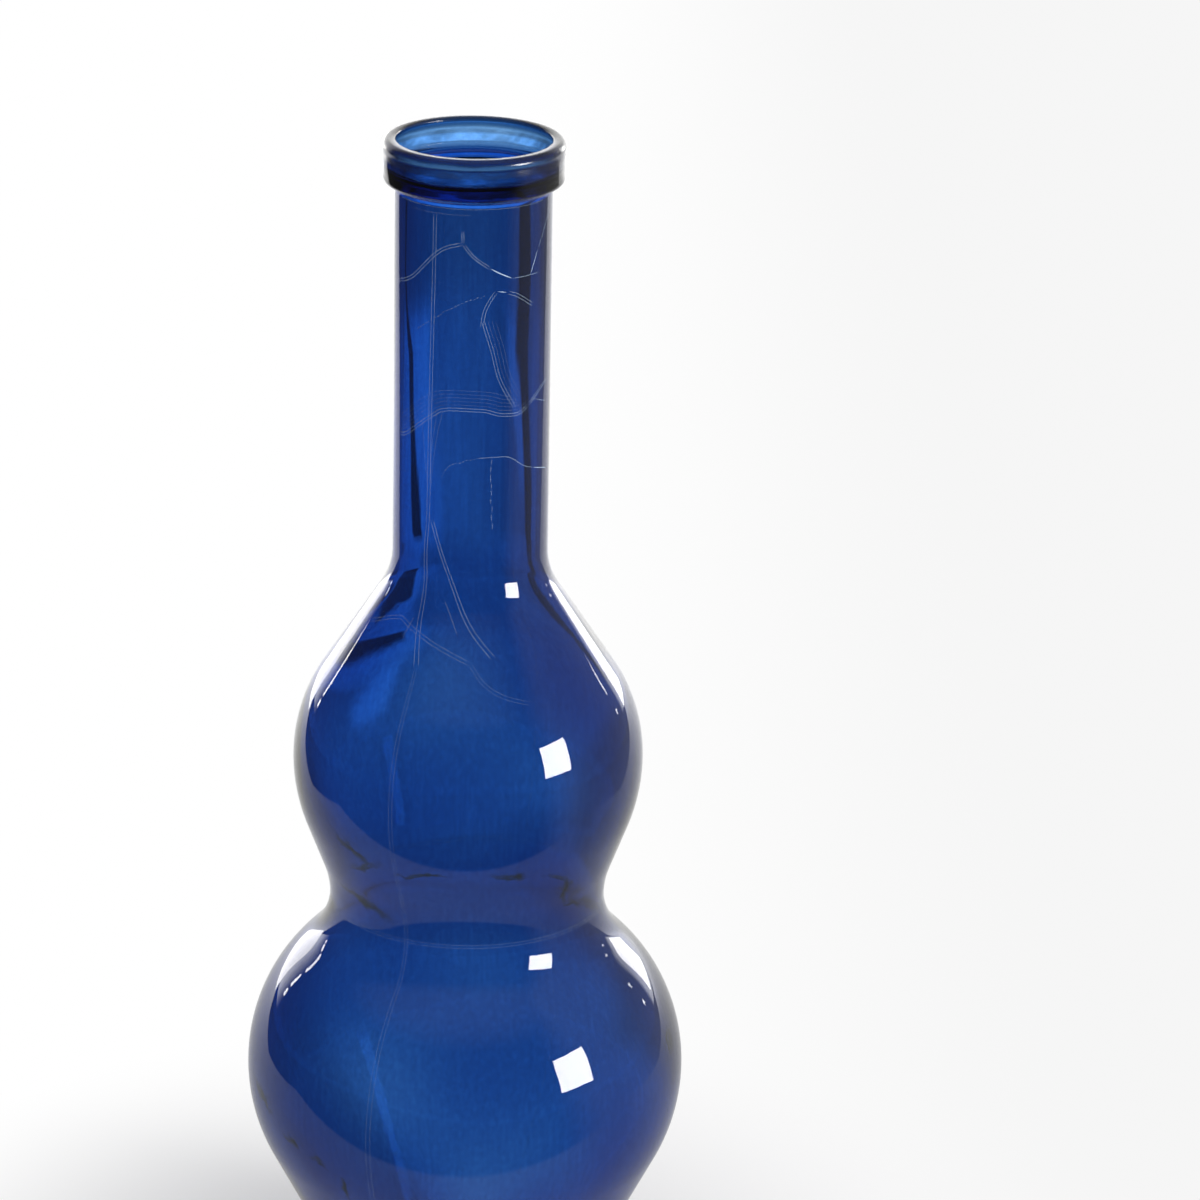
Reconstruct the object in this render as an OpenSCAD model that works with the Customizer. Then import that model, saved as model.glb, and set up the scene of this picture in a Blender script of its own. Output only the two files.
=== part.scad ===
// Tall bottle vase of blue blown glass: two stacked bulbs, a long straight neck and a wide collar.
// The glass is blown in one gather. Its sections, from the base up to the lip, are drawn here as
// separate closed solids that meet face to face, so each can be measured, cut or replaced alone.
// The axis of the vase is Z, and Z is zero on the surface that it stands on.

/* [Glass] */
// Thickness of the blown wall, the same from the heel to the collar
wall = 4.5; // [3:0.5:6]

/* [Base] */
// Diameter of the ring that the vase rests on
foot_d = 114; // [104:1:130]
// Radius of the rounded heel, seen from the side
heel_round = 14; // [10:1:20]
// Diameter of the push-up inside the resting ring
punt_d = 100; // [80:1:102]
// Height of the push-up at its middle
punt_h = 12; // [4:1:20]
// Thickness of the floor of the vase
floor_t = 9; // [6:1:12]

/* [Lower bulb] */
// Diameter of the lower bulb at its widest ring
lower_bulb_d = 269; // [240:1:300]
// Height of the widest ring above the table
lower_bulb_rise = 161; // [140:1:180]
// Height from the widest ring of the lower bulb up to the waist
lower_to_waist = 114; // [100:1:130]

/* [Waist] */
// Diameter of the waist at its narrowest ring
waist_d = 168; // [150:1:190]
// Height from the waist up to the widest ring of the upper bulb
waist_to_upper = 89.5; // [75:0.5:105]

/* [Upper bulb] */
// Diameter of the upper bulb at its widest ring
upper_bulb_d = 212; // [200:1:230]
// Height from the widest ring of the upper bulb up to the foot of the neck
upper_to_neck = 133.5; // [115:0.5:150]

/* [Neck] */
// Outer diameter of the neck
neck_d = 93; // [80:1:96]
// Length from the foot of the neck to the underside of the collar
neck_len = 226.3; // [180:0.1:260]

/* [Collar] */
// Outer diameter of the collar
collar_d = 106.5; // [105:0.5:116]
// Height of the collar from its underside to the top of the lip
collar_h = 25.7; // [22:0.1:34]
// Radius of the lower corner of the collar
collar_corner = 3; // [1:0.5:4]
// Radius of the fillet under the collar
collar_fillet = 3.7; // [1:0.1:4]
// Height of the edge of the neck's bore above the underside of the collar
ledge_rise = 4; // [1:0.5:5]

/* [Lip] */
// Diameter of the lip at its bead
lip_d = 107.8; // [107:0.2:110]
// Diameter of the mouth inside the lip
mouth_d = 91.4; // [90:0.2:94]
// Radius of the bead round the outside of the lip
lip_bead = 4; // [3:0.5:5]
// Radius of the inner edge of the lip
lip_edge = 1.5; // [0.5:0.5:2.5]

/* [Hidden] */
$fn = 180;
// Degrees between two points along an arc of the half section
arc_step = 3;

// Each flank between a wide ring and a narrow one is a swelling arc, a straight stretch and a
// hollow arc. The radii are shares of the largest pair of arcs that the flank has room for.
lower_swell_share = 0.72;
waist_below_share = 0.275;
waist_above_share = 0.315;
upper_under_share = 0.58;
upper_swell_share = 0.56;
neck_flare_share = 0.25;
// Radius of the two curves of the ledge inside the collar, as a share of the wall
ledge_round_share = 0.75;

// Radii
foot_r = foot_d / 2;
punt_r = punt_d / 2;
lower_r = lower_bulb_d / 2;
waist_r = waist_d / 2;
upper_r = upper_bulb_d / 2;
neck_r = neck_d / 2;
bore_r = neck_r - wall;
collar_r = collar_d / 2;
hollow_r = collar_r - wall;
mouth_r = mouth_d / 2;
lip_r = lip_d / 2;

// Heights, stacked from the table up
lower_z = lower_bulb_rise;
waist_z = lower_z + lower_to_waist;
upper_z = waist_z + waist_to_upper;
flare_z = upper_z + upper_to_neck;
collar_z = flare_z + neck_len;
top_z = collar_z + collar_h;
neck_top_z = collar_z - collar_fillet;
lip_z = top_z - 2 * lip_bead;
ledge_round = min(wall * ledge_round_share, (hollow_r - bore_r) / 2);
ledge_low_z = collar_z + ledge_rise;
ledge_mid_z = ledge_low_z + ledge_round;
ledge_top_z = ledge_mid_z + ledge_round;

// Sum of the two arc radii that join two rings with no straight stretch between them
function arc_room(run, rise) = (run * run + rise * rise) / (2 * run);

lower_room = arc_room(lower_r - waist_r, lower_to_waist);
under_room = arc_room(upper_r - waist_r, waist_to_upper);
shoulder_room = arc_room(upper_r - neck_r, upper_to_neck);

lower_swell = lower_room * lower_swell_share;
waist_below = lower_room * waist_below_share;
waist_above = under_room * waist_above_share;
upper_under = under_room * upper_under_share;
upper_swell = shoulder_room * upper_swell_share;
neck_flare = shoulder_room * neck_flare_share;

// Centres of the arcs, as [distance from the axis, height]
heel_c = [foot_r, heel_round];
lower_c = [lower_r - lower_swell, lower_z];
below_c = [waist_r + waist_below, waist_z];
above_c = [waist_r + waist_above, waist_z];
under_c = [upper_r - upper_under, upper_z];
upper_c = [upper_r - upper_swell, upper_z];
flare_c = [neck_r + neck_flare, flare_z];

// Direction square to the straight stretch that touches two circles: way is 1 for a stretch that
// climbs from the first circle and -1 for one that goes down, and reach is the sum of the radii
// towards a hollow arc and their difference towards a swelling one.
function square_to(from, to, reach, way) =
    let (run = to[0] - from[0], rise = to[1] - from[1])
    atan2(rise, run) - way * acos(reach / norm([run, rise]));

// Point on a circle in a given direction; a hollow arc has its radius below zero, so that the
// direction is the wall's own on every arc
function on_circle(centre, radius, angle) = centre + radius * [cos(angle), sin(angle)];

// Points along an arc between two directions, with the last few left off when the next arc has them
function arc(centre, radius, from, to, left_off = 0) =
    let (steps = ceil(abs(to - from) / arc_step))
    [for (i = [0:steps - left_off]) on_circle(centre, radius, from + (to - from) * i / steps)];

heel_angle = square_to(lower_c, heel_c, lower_swell - heel_round, -1);
below_angle = square_to(lower_c, below_c, lower_swell + waist_below, 1);
above_angle = square_to(under_c, above_c, upper_under + waist_above, -1);
shoulder_angle = square_to(upper_c, flare_c, upper_swell + neck_flare, 1);

// Heights at which the sections meet: the ends of the arcs on the outside
heel_top_z = on_circle(lower_c, lower_swell, heel_angle)[1];
waist_low_z = on_circle(below_c, -waist_below, below_angle)[1];
waist_top_z = on_circle(above_c, -waist_above, above_angle)[1];
shoulder_low_z = on_circle(upper_c, upper_swell, shoulder_angle)[1];

// Sphere of the push-up, and the sphere of the floor above it
punt_sphere = arc_room(punt_h, punt_r);
punt_c = [0, punt_h - punt_sphere];
floor_sphere = punt_sphere + floor_t;

// A flat strip from the axis outwards between two heights
module strip(reach, z_low, z_high) {
    translate([0, z_low])
        square([reach, z_high - z_low]);
}

// From the axis out to a swelling arc, between two heights
module swelling(centre, radius, z_low, z_high) {
    intersection() {
        translate(centre)
            circle(radius);
        strip(centre[0] + 2 * radius, z_low, z_high);
    }
    strip(centre[0], z_low, z_high);
}

// From the axis out to a hollow arc, between two heights
module hollowing(centre, radius, z_low, z_high) {
    difference() {
        strip(centre[0], z_low, z_high);
        translate(centre)
            circle(radius);
    }
}

// The bottle from its base to the top of the neck, as a filled half section, set in by a distance
module bottle(inset) {
    polygon(concat(
        [[0, inset]],
        arc(heel_c, heel_round - inset, -90, heel_angle),
        arc(lower_c, lower_swell - inset, heel_angle, below_angle),
        arc(below_c, -waist_below - inset, below_angle, 0, 1),
        arc(above_c, -waist_above - inset, 0, above_angle),
        arc(under_c, upper_under - inset, above_angle, 0, 1),
        arc(upper_c, upper_swell - inset, 0, shoulder_angle),
        arc(flare_c, -neck_flare - inset, shoulder_angle, 0),
        [[neck_r - inset, neck_top_z], [0, neck_top_z]]
    ));
}

// The wall of the bottle between two heights, turned round the axis
module blown_ring(z_low, z_high) {
    rotate_extrude()
        intersection() {
            difference() {
                bottle(0);
                bottle(wall);
            }
            strip(lower_r, z_low, z_high);
        }
}

// Floor of the vase, pushed up in the middle
module base() {
    color([0.03, 0.10, 0.38])
        rotate_extrude()
            intersection() {
                difference() {
                    translate(punt_c)
                        circle(floor_sphere);
                    translate(punt_c)
                        circle(punt_sphere);
                }
                strip(punt_r, 0, punt_h + floor_t);
            }
}

// Resting ring, rounded heel and the flank up to the lower bulb
module heel() {
    color([0.03, 0.12, 0.42])
        rotate_extrude()
            difference() {
                intersection() {
                    bottle(0);
                    strip(lower_r, 0, heel_top_z);
                }
                difference() {
                    bottle(wall);
                    translate(punt_c)
                        circle(floor_sphere);
                }
                strip(punt_r, 0, heel_top_z);
            }
}

// Wide lower bulb
module lower_bulb() {
    color([0.04, 0.15, 0.47])
        blown_ring(heel_top_z, waist_low_z);
}

// Narrow ring between the two bulbs
module waist() {
    color([0.13, 0.22, 0.55])
        blown_ring(waist_low_z, waist_top_z);
}

// Upper bulb
module upper_bulb() {
    color([0.04, 0.16, 0.48])
        blown_ring(waist_top_z, shoulder_low_z);
}

// Straight slope and flare from the upper bulb to the neck
module shoulder() {
    color([0.05, 0.18, 0.50])
        blown_ring(shoulder_low_z, flare_z);
}

// Straight tube of the neck
module neck() {
    color([0.05, 0.20, 0.52])
        translate([0, 0, flare_z])
            difference() {
                cylinder(r = neck_r, h = neck_top_z - flare_z);
                translate([0, 0, -wall])
                    cylinder(r = bore_r, h = neck_top_z - flare_z + 2 * wall);
            }
}

// Half section of the space inside the collar: the neck's bore, the ledge and the wider hollow above
module collar_inside() {
    strip(bore_r, neck_top_z, lip_z);
    hollowing([bore_r + ledge_round, ledge_low_z], ledge_round, ledge_low_z, ledge_mid_z);
    swelling([hollow_r - ledge_round, ledge_top_z], ledge_round, ledge_mid_z, ledge_top_z);
    strip(hollow_r, ledge_top_z, lip_z);
}

// Wide collar round the mouth, with the fillet under it and the ledge inside it
module collar() {
    color([0.05, 0.17, 0.46])
        rotate_extrude()
            difference() {
                union() {
                    hollowing([neck_r + collar_fillet, neck_top_z], collar_fillet, neck_top_z, collar_z);
                    strip(collar_r - collar_corner, collar_z, lip_z);
                    strip(collar_r, collar_z + collar_corner, lip_z);
                    swelling([collar_r - collar_corner, collar_z + collar_corner], collar_corner,
                        collar_z, collar_z + collar_corner);
                }
                collar_inside();
            }
}

// Fire-polished lip: a bead round the outside, a flat top and a rounded inner edge that stands in
// over the hollow of the collar
module lip() {
    color([0.30, 0.33, 0.42])
        rotate_extrude()
            difference() {
                union() {
                    strip(collar_r, lip_z, lip_z + lip_bead);
                    swelling([lip_r - lip_bead, lip_z + lip_bead], lip_bead, lip_z, top_z);
                }
                strip(mouth_r, lip_z, top_z);
                difference() {
                    strip(mouth_r + lip_edge, top_z - lip_edge, top_z);
                    translate([mouth_r + lip_edge, top_z - lip_edge])
                        circle(lip_edge);
                }
            }
}

base();
heel();
lower_bulb();
waist();
upper_bulb();
shoulder();
neck();
collar();
lip();
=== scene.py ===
"""Tall bottle vase of blown blue glass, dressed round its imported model.

The real vase is one piece of glass, so one closed skin stands for all nine sections of the model. It
follows their arcs, and adds what blowing and moulding leave in the glass: an uneven inside, lap
lines, flow ripples, mould seams and a pebbled mouth. Lengths are in metres unless a name says mm.
"""

import logging
import math
from dataclasses import dataclass, field
from enum import Enum
from functools import reduce
from typing import Sequence

import bpy
import numpy as np
from mathutils import Matrix, Vector


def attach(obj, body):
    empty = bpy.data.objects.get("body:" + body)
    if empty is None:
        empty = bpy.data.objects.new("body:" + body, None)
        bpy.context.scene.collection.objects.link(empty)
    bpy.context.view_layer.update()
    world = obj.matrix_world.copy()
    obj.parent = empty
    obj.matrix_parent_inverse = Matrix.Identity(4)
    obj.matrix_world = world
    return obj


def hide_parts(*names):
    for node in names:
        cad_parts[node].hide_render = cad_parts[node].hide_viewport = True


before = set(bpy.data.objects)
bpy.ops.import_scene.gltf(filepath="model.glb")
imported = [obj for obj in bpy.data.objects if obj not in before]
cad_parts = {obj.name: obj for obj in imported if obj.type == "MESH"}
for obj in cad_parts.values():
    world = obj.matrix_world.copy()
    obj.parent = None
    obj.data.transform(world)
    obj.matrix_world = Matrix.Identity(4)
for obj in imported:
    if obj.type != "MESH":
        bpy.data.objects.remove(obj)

LOG = logging.getLogger("vase")
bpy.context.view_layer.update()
BODY = "root"
MM = 0.001
TINY = 1e-12
EASE_POINTS = 9

Array = np.ndarray
Socket = bpy.types.NodeSocket


class Side(Enum):
    """Which skin of the glass a row of the mesh belongs to."""

    OUTSIDE = 0
    INSIDE = 1


@dataclass(frozen=True)
class Arc:
    """A round stretch of the half section.

    Attributes:
        reach: Distance of the centre from the axis.
        height: Height of the centre.
        radius: Radius; below zero on a hollow arc, so that the angles stay the wall's own.
        start: First direction, in degrees.
        end: Last direction, in degrees.
    """

    reach: float
    height: float
    radius: float
    start: float
    end: float

    def points(self, inset: float = 0.0, step: float = 1.0) -> Array:
        """Gives points along the arc.

        Args:
            inset: How far the line lies inside the outer surface.
            step: Degrees between two points.

        Returns:
            Rows of distance from the axis and height.
        """
        count = max(2, math.ceil(abs(self.end - self.start) / step) + 1)
        turn = np.radians(np.linspace(self.start, self.end, count))
        radius = self.radius - inset
        return np.stack([self.reach + radius * np.cos(turn), self.height + radius * np.sin(turn)], 1)


@dataclass(frozen=True)
class Outline:
    """Sizes of the half section, and the lines that they give.

    They are the model's, but for the inside of the lip: lip_inner and lip_slope give it a short
    face and a slope down to the collar's hollow, where the model has a straight face of 8 mm.
    """

    wall: float = 4.5 * MM
    foot_r: float = 57 * MM
    heel_round: float = 14 * MM
    punt_r: float = 50 * MM
    punt_h: float = 12 * MM
    floor_t: float = 9 * MM
    lower_r: float = 134.5 * MM
    lower_z: float = 161 * MM
    waist_r: float = 84 * MM
    waist_z: float = 275 * MM
    upper_r: float = 106 * MM
    upper_z: float = 364.5 * MM
    flare_z: float = 498 * MM
    neck_r: float = 46.5 * MM
    collar_z: float = 724.3 * MM
    collar_r: float = 53.25 * MM
    collar_corner: float = 3 * MM
    collar_fillet: float = 3.7 * MM
    ledge_rise: float = 4 * MM
    lip_r: float = 53.9 * MM
    mouth_r: float = 45.7 * MM
    lip_bead: float = 4 * MM
    lip_edge: float = 1.5 * MM
    lip_inner: float = 1.2 * MM
    lip_slope: float = 3 * MM
    top_z: float = 750 * MM
    lower_swell_share: float = 0.72
    waist_below_share: float = 0.275
    waist_above_share: float = 0.315
    upper_under_share: float = 0.58
    upper_swell_share: float = 0.56
    neck_flare_share: float = 0.25
    ledge_round_share: float = 0.75
    lip_turn: float = -33
    collar_step: float = 5
    lip_step: float = 10
    punt_ease: float = 3 * MM
    lip_ease: float = 0.9 * MM
    slope_ease: float = 2 * MM
    floor_ease: float = 7 * MM

    @staticmethod
    def room(run: float, rise: float) -> float:
        """Gives the sum of two arc radii that join two rings with no straight stretch between."""
        return (run * run + rise * rise) / (2 * run)

    @staticmethod
    def square_to(first: tuple[float, float], last: tuple[float, float], reach: float, way: int) -> float:
        """Gives the direction square to the straight stretch that touches two circles.

        Args:
            first: Centre of the circle that the stretch leaves.
            last: Centre of the circle that it meets.
            reach: Sum of the radii towards a hollow arc, their difference towards a swelling one.
            way: 1 where the stretch climbs from the first circle, -1 where it goes down.

        Returns:
            The direction in degrees.
        """
        run, rise = last[0] - first[0], last[1] - first[1]
        return math.degrees(math.atan2(rise, run) - way * math.acos(reach / math.hypot(run, rise)))

    def flank(self) -> list[Arc]:
        """Works out the flank from the heel up to the foot of the neck.

        Returns:
            Its arcs, in order.
        """
        lower_room = self.room(self.lower_r - self.waist_r, self.waist_z - self.lower_z)
        under_room = self.room(self.upper_r - self.waist_r, self.upper_z - self.waist_z)
        shoulder_room = self.room(self.upper_r - self.neck_r, self.flare_z - self.upper_z)
        lower = lower_room * self.lower_swell_share
        below = lower_room * self.waist_below_share
        above = under_room * self.waist_above_share
        under = under_room * self.upper_under_share
        upper = shoulder_room * self.upper_swell_share
        flare = shoulder_room * self.neck_flare_share
        heel_c = (self.foot_r, self.heel_round)
        lower_c = (self.lower_r - lower, self.lower_z)
        below_c = (self.waist_r + below, self.waist_z)
        above_c = (self.waist_r + above, self.waist_z)
        under_c = (self.upper_r - under, self.upper_z)
        upper_c = (self.upper_r - upper, self.upper_z)
        flare_c = (self.neck_r + flare, self.flare_z)
        heel_turn = self.square_to(lower_c, heel_c, lower - self.heel_round, -1)
        below_turn = self.square_to(lower_c, below_c, lower + below, 1)
        above_turn = self.square_to(under_c, above_c, under + above, -1)
        shoulder_turn = self.square_to(upper_c, flare_c, upper + flare, 1)
        return [
            Arc(*heel_c, self.heel_round, -90, heel_turn),
            Arc(*lower_c, lower, heel_turn, below_turn),
            Arc(*below_c, -below, below_turn, 0),
            Arc(*above_c, -above, 0, above_turn),
            Arc(*under_c, under, above_turn, 0),
            Arc(*upper_c, upper, 0, shoulder_turn),
            Arc(*flare_c, -flare, shoulder_turn, 0),
        ]

    def punt_sphere(self) -> float:
        """Gives the radius of the push-up under the base."""
        return self.room(self.punt_h, self.punt_r)

    def outside(self) -> Array:
        """Works out the outside, from the middle of the push-up to the crown of the lip.

        Returns:
            Rows of distance from the axis and height.
        """
        sphere = self.punt_sphere()
        half = math.degrees(math.asin(self.punt_r / sphere))
        punt = Arc(0, self.punt_h - sphere, sphere, 90, 90 - half).points()
        bottle = np.concatenate([arc.points() for arc in self.flank()])
        corner_z = self.collar_z + self.collar_corner
        neck_top_z = self.collar_z - self.collar_fillet
        bead_z = self.top_z - self.lip_bead
        rim = (
            Arc(self.neck_r + self.collar_fillet, neck_top_z, -self.collar_fillet, 0, -90),
            Arc(self.collar_r - self.collar_corner, corner_z, self.collar_corner, -90, 0),
            Arc(self.lip_r - self.lip_bead, bead_z, self.lip_bead, self.lip_turn, 90),
        )
        top = [arc.points(step=self.collar_step) for arc in rim]
        return eased(np.concatenate([punt, bottle, *top]), {len(punt) - 1: self.punt_ease})

    def inside(self) -> Array:
        """Works out the inside, from the crown of the lip down to the middle of the floor.

        Returns:
            Rows of distance from the axis and height.
        """
        hollow_r = self.collar_r - self.wall
        bore_r = self.neck_r - self.wall
        turn = min(self.wall * self.ledge_round_share, (hollow_r - bore_r) / 2)
        low_z = self.collar_z + self.ledge_rise
        under_lip_z = self.top_z - self.lip_edge - self.lip_inner
        lip_arc = Arc(self.mouth_r + self.lip_edge, self.top_z - self.lip_edge, self.lip_edge, 90, 180)
        lip = lip_arc.points(step=self.lip_step)
        under = [[self.mouth_r, under_lip_z], [hollow_r, under_lip_z - self.lip_slope]]
        ledge = np.concatenate([
            Arc(hollow_r - turn, low_z + 2 * turn, turn, 0, -90).points(step=self.collar_step),
            Arc(bore_r + turn, low_z, -turn, -90, 0).points(step=self.collar_step),
        ])
        bottle = np.concatenate([arc.points(self.wall) for arc in self.flank()])[::-1]
        sphere = self.punt_sphere() + self.floor_t
        centre_z = self.punt_h - self.punt_sphere()
        above_floor = np.hypot(bottle[:, 0], bottle[:, 1] - centre_z) > sphere
        bottle = bottle[above_floor]
        half = math.degrees(math.asin(bottle[-1, 0] / sphere))
        floor = Arc(0, centre_z, sphere, 90 - half, 90).points()
        line = np.concatenate([lip, under, ledge, bottle, floor[1:]])
        floor_edge = len(line) - len(floor)
        corners = {len(lip): self.lip_ease, len(lip) + 1: self.slope_ease, floor_edge: self.floor_ease}
        return eased(line, corners)


def lengths(line: Array) -> Array:
    """Gives the length along a line up to each of its points."""
    return np.concatenate([[0], np.cumsum(np.hypot(*np.diff(line, axis=0).T))])


def places(line: Array, length: Array, along: Array) -> Array:
    """Gives the points of a line, whose lengths are known, at some lengths along it."""
    return np.stack([np.interp(along, length, line[:, k]) for k in (0, 1)], 1)


def risen(value: Array, start: float, reach: float) -> Array:
    """Gives 0 up to a start, 1 from a reach above it, and an even rise between."""
    return np.clip((value - start) / reach, 0, 1)


def eased(line: Array, corners: dict[int, float]) -> Array:
    """Rounds some corners of a line.

    Args:
        line: Rows of distance from the axis and height.
        corners: How far back the rounding starts, by the index of the corner's point.

    Returns:
        The line with a curve in place of each of those corners.
    """
    along = lengths(line)
    keep = np.ones(len(line), bool)
    extra_along, extra = [], []
    for index, reach in corners.items():
        low, high = along[index] - reach, along[index] + reach
        keep &= (along <= low) | (along >= high)
        first, last = places(line, along, np.array([low, high]))
        for t in np.linspace(0, 1, EASE_POINTS):
            extra.append((1 - t) ** 2 * first + 2 * t * (1 - t) * line[index] + t * t * last)
            extra_along.append(low + 2 * reach * t)
    order = np.argsort(np.concatenate([along[keep], extra_along]), kind="stable")
    return np.concatenate([line[keep], np.array(extra)])[order]


@dataclass(frozen=True)
class Spacing:
    """Distance between two rows of the mesh, by height and side.

    Attributes:
        neck: On the outside of the neck.
        rim: Round the collar and the lip.
        bulb: On the outside of the bulbs.
        inner: On the inside below the collar.
        inner_per_outer: How many columns of the outside share one of the inside.
        columns: Columns round the outside.
        below_flare: How far below the flare the distance of the neck starts.
        below_collar: How far below the collar the distance of the rim starts.
        probe: Distance between two places where the distance is worked out.
        blend: How many probes to each side smooth its changes.
        look: How far to each side the direction of the line is read.
    """

    neck: float = 1.6 * MM
    rim: float = 0.6 * MM
    bulb: float = 2.6 * MM
    inner: float = 3.0 * MM
    inner_per_outer: int = 2
    columns: int = 420
    below_flare: float = 30 * MM
    below_collar: float = 6 * MM
    probe: float = 0.1 * MM
    blend: int = 100
    look: float = 0.3 * MM


@dataclass(frozen=True)
class Waves:
    """A smooth random field: a sum of waves round and along the glass, the same in every run.

    Attributes:
        seed: Seed of the draw.
        count: How many waves.
        round_length: Wave length round the glass, in metres at the neck's radius.
        along_length: Wave length along the half section.
        height: Root mean square height.
        radius: Radius at which round_length holds.
        least_share: Slowest wave, as a share of the quickest.
    """

    seed: int
    count: int
    round_length: float
    along_length: float
    height: float
    radius: float = 46.5 * MM
    least_share: float = 0.35

    def field(self, turn: Array, along: Array) -> Array:
        """Gives the field's height at each vertex.

        Args:
            turn: Azimuth of each vertex in radians.
            along: Length along the half section of each vertex.

        Returns:
            The heights in metres.
        """
        draw = np.random.default_rng(self.seed)
        total = np.zeros(np.broadcast(turn, along).shape)
        most = 2 * math.pi * self.radius / self.round_length
        for _ in range(self.count):
            whole = round(draw.uniform(self.least_share, 1.0) * most) * draw.choice([-1, 1])
            steep = 2 * math.pi / self.along_length * draw.uniform(self.least_share, 1.0)
            total += np.cos(whole * turn + steep * along + draw.uniform(0, 2 * math.pi))
        return total * self.height * math.sqrt(2 / self.count)


class Strength(Enum):
    """How plainly the painted glint of a line on the glass shows, as the share of light that its pale threads
    stop.
    """

    BRIGHT = 0.60
    PLAIN = 0.22
    FAINT = 0.12
    HINT = 0.06


@dataclass(frozen=True)
class Line:
    """A fine line on the outside of the glass, as one thread or two side by side.

    Attributes:
        course: Points along it, as (azimuth in degrees, height in mm); azimuth 0 faces the viewer.
        strength: How plainly it shows.
        width_mm: Half width of a thread.
        gap_mm: Distance between the two threads of a double line, 0 for a single one.
        ripples: How many faint ripples run beside it, above it if more than 0, below it if less.
        broken: How many gaps break it up along its length.
    """

    course: tuple[tuple[float, float], ...]
    strength: Strength = Strength.PLAIN
    width_mm: float = 0.34
    gap_mm: float = 0.0
    ripples: int = 0
    broken: int = 0

    def path(self, reach_mm: float, step_mm: float) -> Array:
        """Gives close points along the line.

        Args:
            reach_mm: Distance from the axis at which the steps have their length.
            step_mm: Distance between two points.

        Returns:
            Rows of azimuth in degrees and height in mm.
        """
        course = np.array(self.course, float)
        scale = np.array([math.radians(1) * reach_mm, 1])
        padded = np.concatenate([2 * course[:1] - course[1:2], course, 2 * course[-1:] - course[-2:-1]])
        pieces = []
        for a, b, c, d in zip(padded, padded[1:], padded[2:], padded[3:]):
            count = max(2, int(np.hypot(*((c - b) * scale)) / step_mm))
            t = np.linspace(0, 1, count, endpoint=False)[:, None]
            pieces.append(0.5 * (
                2 * b + (c - a) * t + (2 * a - 5 * b + 4 * c - d) * t ** 2
                + (3 * b - a - 3 * c + d) * t ** 3
            ))
        return np.concatenate(pieces + [course[-1:]])

    def shifted(self, path: Array, aside_mm: float, reach_mm: float) -> Array:
        """Gives the path moved sideways on the surface.

        Args:
            path: Rows of azimuth and height.
            aside_mm: How far it moves, to the left of its own direction.
            reach_mm: Distance from the axis there.

        Returns:
            Rows of azimuth and height.
        """
        scale = np.array([math.radians(1) * reach_mm, 1])
        way = np.gradient(path * scale, axis=0)
        way /= np.maximum(np.hypot(*way.T), TINY)[:, None]
        return path + np.stack([-way[:, 1], way[:, 0]], 1) * aside_mm / scale


def lap_lines() -> tuple[Line, ...]:
    """Gives the lap lines on the neck, where the glass folded over itself while it was drawn out.

    Returns:
        The lines.
    """
    bright, plain, faint, hint = Strength.BRIGHT, Strength.PLAIN, Strength.FAINT, Strength.HINT
    # Strength.BRIGHT marks the stretches whose painted glint is strongest.
    return (
        Line(((-67, 668), (-49, 674), (-38, 682), (-27, 691), (-18, 696), (-6, 699)), plain, 0.2, 1.6),
        Line(((-6, 699), (2, 691), (14, 684)), plain, 0.2, 1.4),
        Line(((14, 684), (23, 680), (31, 677)), bright, 0.34),
        Line(((31, 677), (47, 677), (57, 677)), plain, 0.24),
        Line(((-6, 699), (-6, 707)), plain, 0.2, 1.2),
        Line(((74, 713), (68, 708), (55, 691)), plain, 0.2),
        Line(((55, 691), (47, 677)), bright, 0.2),
        Line(((8, 648), (10, 658), (15, 666), (19, 670)), plain, 0.18, 1.7),
        Line(((19, 670), (27, 669)), bright, 0.28),
        Line(((27, 669), (36, 666), (51, 658)), plain, 0.18, 1.7),
        Line(((-42, 644), (-27, 653), (-6, 663), (11, 668)), plain, 0.34, broken=21),
        Line(((9, 653), (11, 647), (16, 634), (22, 616), (34, 598)), plain, 0.16, 1.7, ripples=3),
        Line(((-65, 575), (-53, 578), (-30, 592), (-17, 598), (9, 598), (22, 595), (37, 594), (47, 598)),
             plain, 0.18, 1.7, ripples=5),
        Line(((47, 598), (62, 606), (73, 608)), plain, 0.2, 1.4),
        Line(((51, 601), (71, 595)), plain, 0.2),
        Line(((-20, 556), (-17, 561), (-10, 565), (5, 569)), plain, 0.34, broken=12),
        Line(((5, 569), (19, 569), (30, 568), (43, 561), (53, 558)), plain, 0.2),
        Line(((53, 558), (74, 553)), bright, 0.22),
        Line(((17, 568), (16, 555), (17, 524)), faint, 0.3, broken=9),
        Line(((-62, 719.5), (0, 719.5), (64, 719.5)), faint, 0.2),
        Line(((-49, 716), (-19, 716), (0, 716)), hint, 0.2),
    )


def flow_cords() -> tuple[Line, ...]:
    """Gives the cords that run from the lower neck down over the shoulder.

    Returns:
        The lines.
    """
    plain, faint, hint = Strength.PLAIN, Strength.FAINT, Strength.HINT
    return (
        Line(((-24, 596), (-28, 575), (-30, 553)), hint, 0.2),
        Line(((-20, 597), (-26, 572), (-29, 548)), hint, 0.2),
        Line(((-37, 590), (-35, 572), (-32, 550)), hint, 0.2),
        Line(((-28, 529), (-19, 506), (-7, 482), (2, 467), (14, 451)), plain, 0.16, 1.9),
        Line(((-16, 481), (-10, 472), (-5, 463)), faint, 0.2),
        Line(((-67, 459), (-46, 467), (-36, 465), (-11, 455), (2, 449)), faint, 0.18, 1.8),
        Line(((2, 449), (8, 439), (16, 432), (27, 427)), hint, 0.2, 1.8),
        Line(((-34, 470), (-37, 458)), faint, 0.2),
    )


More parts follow.
